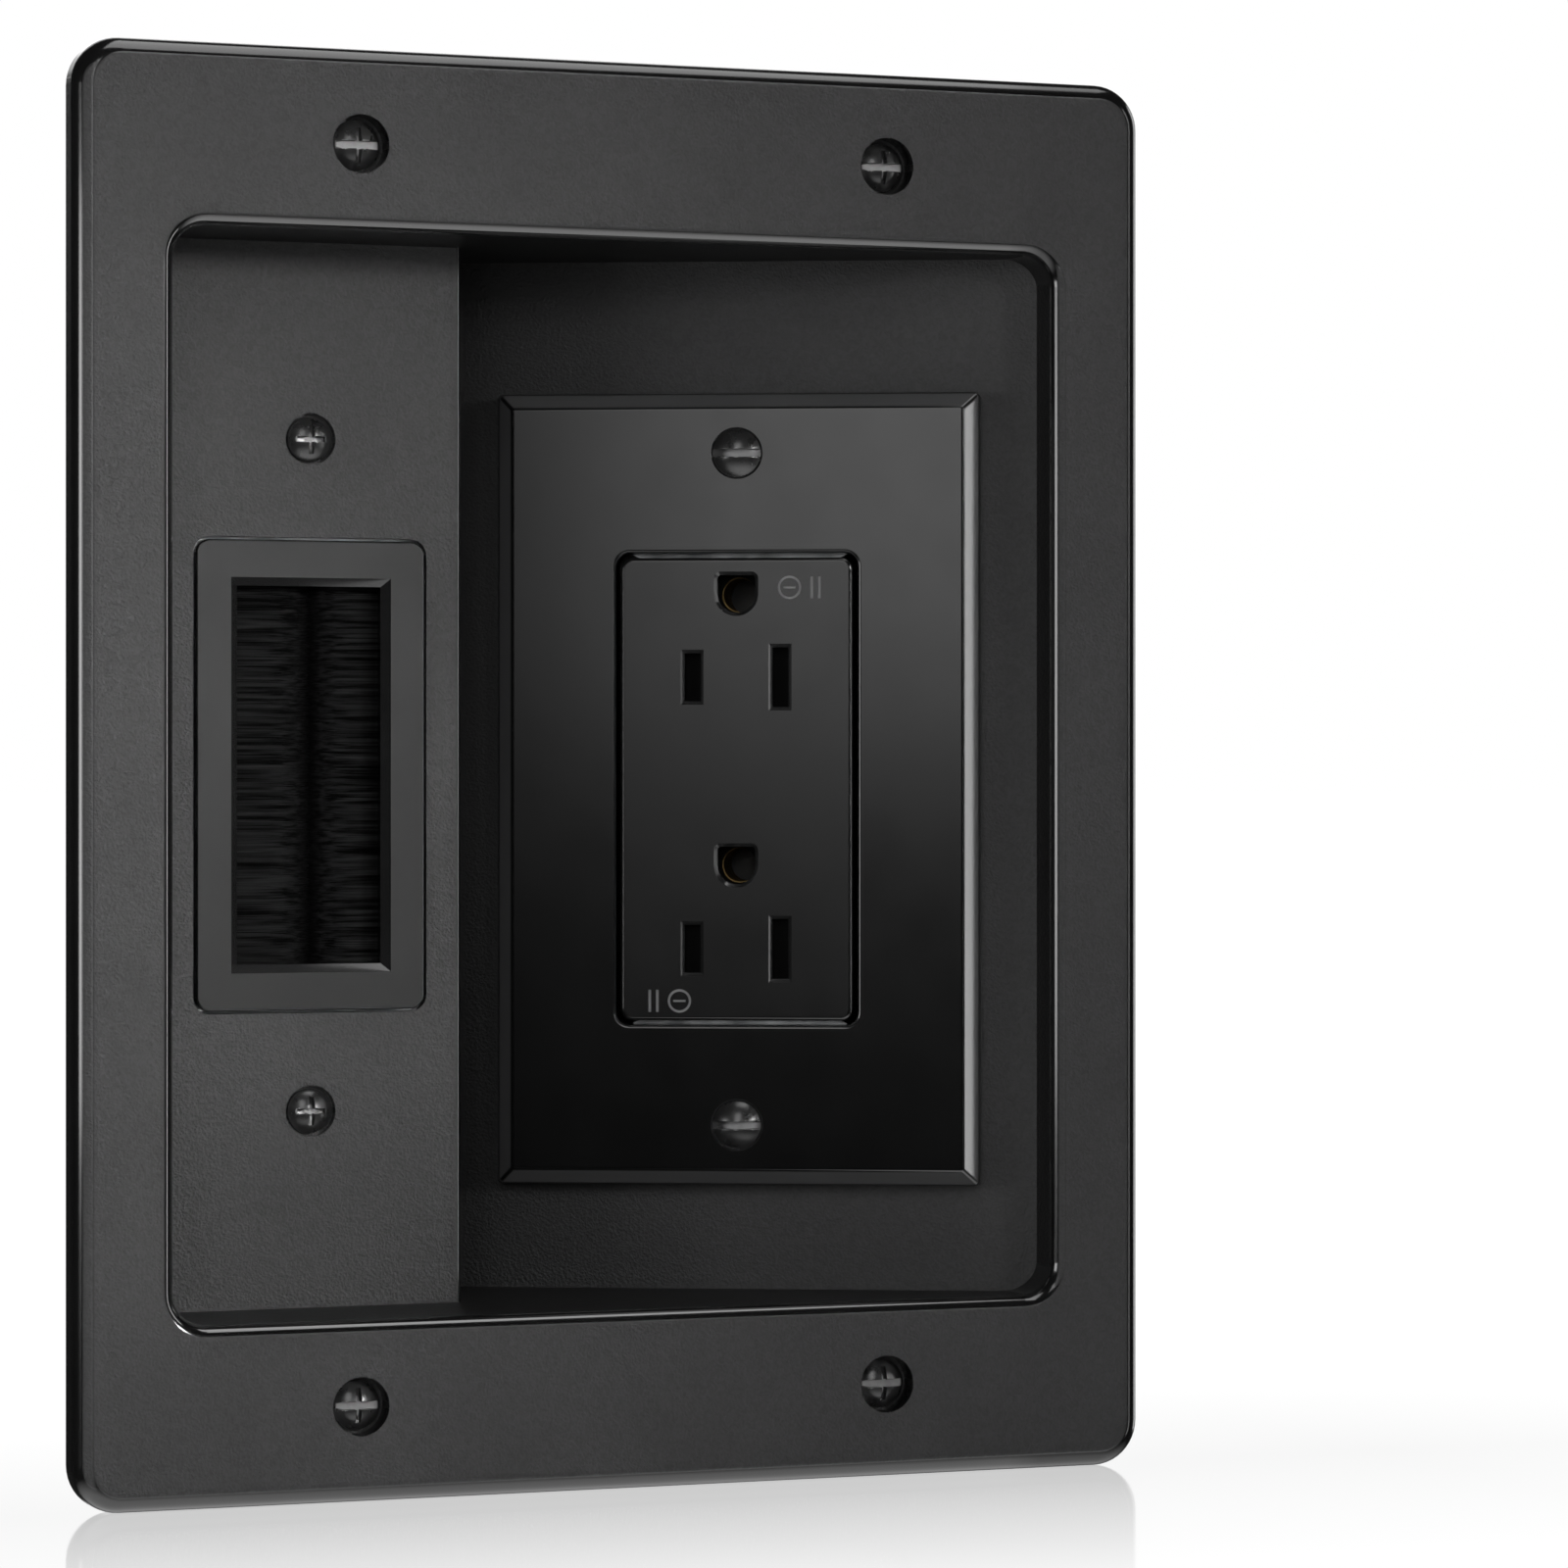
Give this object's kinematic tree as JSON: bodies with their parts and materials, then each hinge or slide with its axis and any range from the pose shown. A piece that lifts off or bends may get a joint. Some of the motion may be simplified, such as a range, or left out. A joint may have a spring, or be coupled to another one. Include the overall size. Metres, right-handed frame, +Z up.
{
  "type": "recessed duplex wall outlet",
  "caption": "Recessed wall outlet frame with a cable brush on a shallow panel and a shuttered duplex receptacle on the slanted floor of a deeper pocket.",
  "frame": {"origin": "centre of the flange's back face, on the face of the wall", "axes": "+X right and +Z up as seen from the room, +Y into the wall"},
  "size_m": [0.158, 0.0775, 0.199],
  "materials": {
    "frame_plastic": "fine leather grain, charcoal black",
    "bezel_plastic": "smooth satin, charcoal black",
    "plate_plastic": "smooth semi-gloss black",
    "face_plastic": "smooth semi-gloss black",
    "box_plastic": "moulded, lightly textured black",
    "body_plastic": "moulded black",
    "inner_plastic": "smooth black",
    "wing_plastic": "glass-filled nylon, black",
    "bristle_nylon": "fine black nylon filaments",
    "black_screw": "black oxide, semi-gloss",
    "zinc_steel": "bright zinc plate",
    "strap_steel": "galvanised sheet",
    "spring_steel": "drawn wire",
    "contact_brass": "stamped brass",
    "silver_screw": "nickel plate",
    "green_screw": "green dyed zinc"
  },
  "bodies": {
    "frame": {"box_screws": "zinc_steel", "brass_pressure_plates": "contact_brass", "brass_terminal_screws": "contact_brass", "bristles_left": "bristle_nylon", "bristles_right": "bristle_nylon", "brush_bezel": "bezel_plastic", "brush_channel_left": "strap_steel", "brush_channel_right": "strap_steel", "brush_panel_screws": "black_screw", "brush_retainer": "box_plastic", "brush_retainer_screws": "black_screw", "brush_strap": "strap_steel", "cable_clamp_screws": "zinc_steel", "cable_clamps": "zinc_steel", "green_ground_screw": "green_screw", "ground_contact_lower": "contact_brass", "ground_contact_upper": "contact_brass", "line_contacts": "contact_brass", "mounting_screws": "zinc_steel", "mounting_strap": "strap_steel", "neutral_contacts": "contact_brass", "plate_screws": "black_screw", "rear_box": "box_plastic", "receptacle_body": "body_plastic", "receptacle_face": "face_plastic", "receptacle_screws": "zinc_steel", "recessed_frame": "frame_plastic", "shutter_carrier": "inner_plastic", "shutter_spring_lower": "spring_steel", "shutter_spring_upper": "spring_steel", "silver_pressure_plates": "silver_screw", "silver_terminal_screws": "silver_screw", "wall_plate": "plate_plastic"},
    "screw_upper_left": {"clamp_screw_upper_left": "black_screw"},
    "wing_upper_left": {"clamp_wing_upper_left": "wing_plastic"},
    "screw_upper_right": {"clamp_screw_upper_right": "black_screw"},
    "wing_upper_right": {"clamp_wing_upper_right": "wing_plastic"},
    "screw_lower_left": {"clamp_screw_lower_left": "black_screw"},
    "wing_lower_left": {"clamp_wing_lower_left": "wing_plastic"},
    "screw_lower_right": {"clamp_screw_lower_right": "black_screw"},
    "wing_lower_right": {"clamp_wing_lower_right": "wing_plastic"},
    "shutter_upper": {"shutter_upper": "inner_plastic"},
    "shutter_lower": {"shutter_lower": "inner_plastic"}
  },
  "joints": [
    {"name": "clamp_swing_upper_left", "type": "hinge", "parent": "frame", "child": "screw_upper_left", "pos_m": [-0.039, 0, 0.08625], "axis": [0, 1, 0], "range_deg": [0, 90]},
    {"name": "clamp_travel_upper_left", "type": "slide", "parent": "screw_upper_left", "child": "wing_upper_left", "axis": [0, -1, 0], "range_m": [0, 0.026]},
    {"name": "clamp_swing_upper_right", "type": "hinge", "parent": "frame", "child": "screw_upper_right", "pos_m": [0.039, 0, 0.08625], "axis": [0, 1, 0], "range_deg": [0, 90]},
    {"name": "clamp_travel_upper_right", "type": "slide", "parent": "screw_upper_right", "child": "wing_upper_right", "axis": [0, -1, 0], "range_m": [0, 0.026]},
    {"name": "clamp_swing_lower_left", "type": "hinge", "parent": "frame", "child": "screw_lower_left", "pos_m": [-0.039, 0, -0.08625], "axis": [0, 1, 0], "range_deg": [0, 90]},
    {"name": "clamp_travel_lower_left", "type": "slide", "parent": "screw_lower_left", "child": "wing_lower_left", "axis": [0, -1, 0], "range_m": [0, 0.026]},
    {"name": "clamp_swing_lower_right", "type": "hinge", "parent": "frame", "child": "screw_lower_right", "pos_m": [0.039, 0, -0.08625], "axis": [0, 1, 0], "range_deg": [0, 90]},
    {"name": "clamp_travel_lower_right", "type": "slide", "parent": "screw_lower_right", "child": "wing_lower_right", "axis": [0, -1, 0], "range_m": [0, 0.026]},
    {"name": "shutter_slide_upper", "type": "slide", "parent": "frame", "child": "shutter_upper", "axis": [0.8918, -0.4524, 0], "range_m": [0, 0.0034], "stiffness_N_per_m": 60, "springref_m": -0.002, "deforming": ["shutter_spring_upper"]},
    {"name": "shutter_slide_lower", "type": "slide", "parent": "frame", "child": "shutter_lower", "axis": [0.8918, -0.4524, 0], "range_m": [0, 0.0034], "stiffness_N_per_m": 60, "springref_m": -0.002, "deforming": ["shutter_spring_lower"]}
  ]
}
